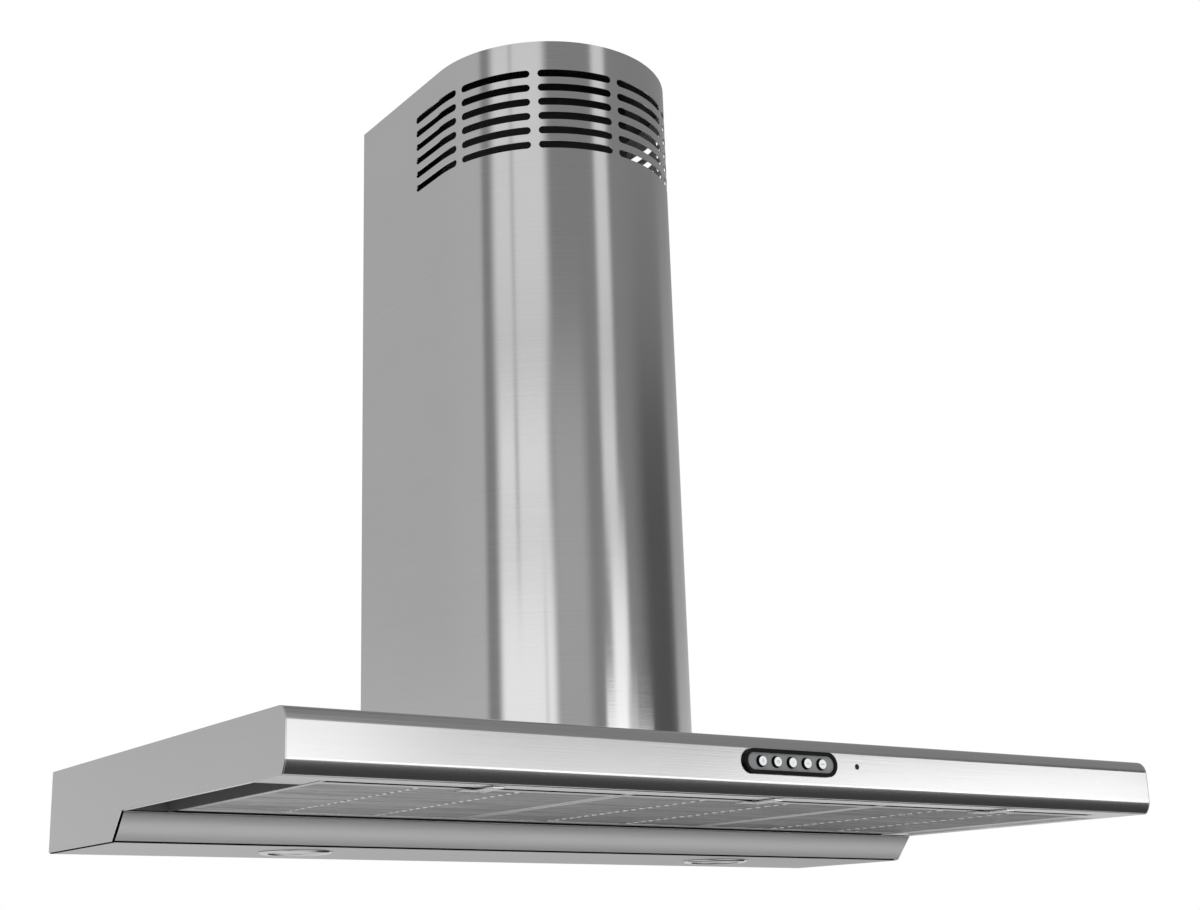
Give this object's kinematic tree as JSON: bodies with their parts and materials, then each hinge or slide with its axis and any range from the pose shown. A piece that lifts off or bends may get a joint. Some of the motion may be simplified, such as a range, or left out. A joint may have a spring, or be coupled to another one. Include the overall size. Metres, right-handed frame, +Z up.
{
  "type": "wall mount range hood",
  "caption": "Wall mounted chimney range hood: slim wide canopy with push buttons, drop-down grease filters and lamps, and a round-fronted slotted chimney over a blower.",
  "frame": {"origin": "on the wall plane, midway between the two hanging holes of the back panel", "axes": "+X to the right as seen from the room, +Y into the wall, +Z up"},
  "size_m": [0.9, 0.5045, 0.8012],
  "materials": {
    "stainless": "brushed",
    "galvanised": "satin zinc",
    "bright_steel": "polished",
    "filter_aluminium": "satin",
    "blower_plastic": "matt",
    "black_plastic": "satin",
    "panel_grey": "satin",
    "button_plastic": "gloss",
    "lens_dark": "clear dark red",
    "lamp_glass": "frosted",
    "motor_iron": "varnished laminations",
    "sintered_bronze": "oiled",
    "black_rubber": "matt",
    "white_plastic": "matt",
    "board_green": "lacquered"
  },
  "bodies": {
    "hood": {"canopy_shell": "stainless", "left_side_panel": "stainless", "right_side_panel": "stainless", "back_panel": "galvanised", "lamp_panel": "stainless", "left_side_channel": "galvanised", "right_side_channel": "galvanised", "rear_filter_rail": "galvanised", "chimney_cover": "stainless", "chimney_bracket": "galvanised", "air_deflector": "black_plastic", "blower_housing": "galvanised", "blower_screws": "bright_steel", "scroll_left_half": "blower_plastic", "scroll_right_half": "blower_plastic", "motor_casing": "filter_aluminium", "motor_stator": "motor_iron", "motor_bushes": "sintered_bronze", "motor_bracket": "galvanised", "motor_grommets": "black_rubber", "motor_bolts": "bright_steel", "run_capacitor": "white_plastic", "terminal_box": "white_plastic", "terminal_lid": "white_plastic", "terminal_block": "white_plastic", "cable_gland": "black_plastic", "duct_collar": "black_plastic", "damper_pin": "bright_steel", "control_bezel": "black_plastic", "control_plate": "panel_grey", "control_housing": "panel_grey", "control_board": "board_green", "button_switches": "black_plastic", "status_lens": "lens_dark", "left_lamp_ring": "bright_steel", "right_lamp_ring": "bright_steel", "left_lamp_glass": "lamp_glass", "right_lamp_glass": "lamp_glass", "left_lamp_cup": "galvanised", "right_lamp_cup": "galvanised", "lamp_bulbs": "lamp_glass"},
    "impeller": {"impeller": "blower_plastic", "motor_shaft": "bright_steel", "motor_rotor": "motor_iron"},
    "front_flap": {"front_damper_flap": "galvanised"},
    "rear_flap": {"rear_damper_flap": "galvanised"},
    "light_button": {"light_button": "button_plastic"},
    "off_button": {"off_button": "button_plastic"},
    "low_speed_button": {"low_speed_button": "button_plastic"},
    "mid_speed_button": {"mid_speed_button": "button_plastic"},
    "high_speed_button": {"high_speed_button": "button_plastic"},
    "left_filter": {"left_filter_frame": "filter_aluminium", "left_filter_mesh": "filter_aluminium"},
    "left_latch": {"left_filter_latch": "bright_steel"},
    "centre_filter": {"centre_filter_frame": "filter_aluminium", "centre_filter_mesh": "filter_aluminium"},
    "centre_latch": {"centre_filter_latch": "bright_steel"},
    "right_filter": {"right_filter_frame": "filter_aluminium", "right_filter_mesh": "filter_aluminium"},
    "right_latch": {"right_filter_latch": "bright_steel"}
  },
  "joints": [
    {"name": "impeller_spin", "type": "hinge", "parent": "hood", "child": "impeller", "pos_m": [0, -0.095, 0.125], "axis": [1, 0, 0], "continuous": true},
    {"name": "front_flap_hinge", "type": "hinge", "parent": "hood", "child": "front_flap", "pos_m": [0, -0.148, 0.292], "axis": [-1, 0, 0], "range_deg": [0, 75]},
    {"name": "rear_flap_hinge", "type": "hinge", "parent": "hood", "child": "rear_flap", "pos_m": [0, -0.148, 0.292], "axis": [1, 0, 0], "range_deg": [0, 75]},
    {"name": "light_press", "type": "slide", "parent": "hood", "child": "light_button", "axis": [0, 1, 0], "range_m": [0, 0.0015], "stiffness_N_per_m": 600},
    {"name": "off_press", "type": "slide", "parent": "hood", "child": "off_button", "axis": [0, 1, 0], "range_m": [0, 0.0015], "stiffness_N_per_m": 600},
    {"name": "low_speed_press", "type": "slide", "parent": "hood", "child": "low_speed_button", "axis": [0, 1, 0], "range_m": [0, 0.0015], "stiffness_N_per_m": 600},
    {"name": "mid_speed_press", "type": "slide", "parent": "hood", "child": "mid_speed_button", "axis": [0, 1, 0], "range_m": [0, 0.0015], "stiffness_N_per_m": 600},
    {"name": "high_speed_press", "type": "slide", "parent": "hood", "child": "high_speed_button", "axis": [0, 1, 0], "range_m": [0, 0.0015], "stiffness_N_per_m": 600},
    {"name": "left_filter_hinge", "type": "hinge", "parent": "hood", "child": "left_filter", "pos_m": [0, -0.193, -0.0161], "axis": [1, 0, 0], "range_deg": [0, 85]},
    {"name": "left_latch_slide", "type": "slide", "parent": "left_filter", "child": "left_latch", "axis": [0, 1, 0], "range_m": [0, 0.006], "stiffness_N_per_m": 200},
    {"name": "centre_filter_hinge", "type": "hinge", "parent": "hood", "child": "centre_filter", "pos_m": [0, -0.193, -0.0161], "axis": [1, 0, 0], "range_deg": [0, 85]},
    {"name": "centre_latch_slide", "type": "slide", "parent": "centre_filter", "child": "centre_latch", "axis": [0, 1, 0], "range_m": [0, 0.006], "stiffness_N_per_m": 200},
    {"name": "right_filter_hinge", "type": "hinge", "parent": "hood", "child": "right_filter", "pos_m": [0, -0.193, -0.0161], "axis": [1, 0, 0], "range_deg": [0, 85]},
    {"name": "right_latch_slide", "type": "slide", "parent": "right_filter", "child": "right_latch", "axis": [0, 1, 0], "range_m": [0, 0.006], "stiffness_N_per_m": 200}
  ]
}
